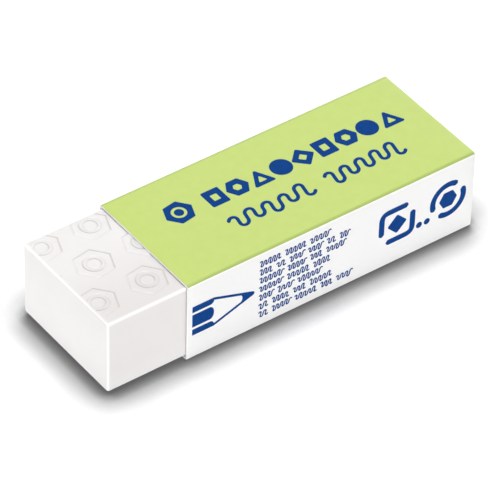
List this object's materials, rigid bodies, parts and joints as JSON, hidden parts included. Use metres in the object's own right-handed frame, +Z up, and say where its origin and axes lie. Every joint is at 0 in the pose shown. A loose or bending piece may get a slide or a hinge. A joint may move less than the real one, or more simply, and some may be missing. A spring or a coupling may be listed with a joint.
{
  "type": "rubber eraser with card sleeve",
  "caption": "White rectangular rubber eraser with a low embossed pattern on its top face, held in a folded card sleeve that slides along it.",
  "frame": {"origin": "under the middle of the whole object, on the surface that the sleeve's bottom panel rests on", "axes": "+X along the block, from its bare end to the end inside the sleeve; +Y from the pictured long side to the other; +Z up, out of the embossed top face"},
  "size_m": [0.065, 0.022, 0.014],
  "materials": {
    "block_rubber": "matte",
    "sleeve_card": "satin",
    "lime_print": "satin",
    "blue_print": "satin"
  },
  "bodies": {
    "block": {"eraser_block": "block_rubber"},
    "sleeve": {"card_sleeve": "sleeve_card"}
  },
  "joints": [
    {"name": "sleeve_slide", "type": "slide", "parent": "block", "child": "sleeve", "axis": [1, 0, 0], "range_m": [-0.0135, 0.052]}
  ]
}
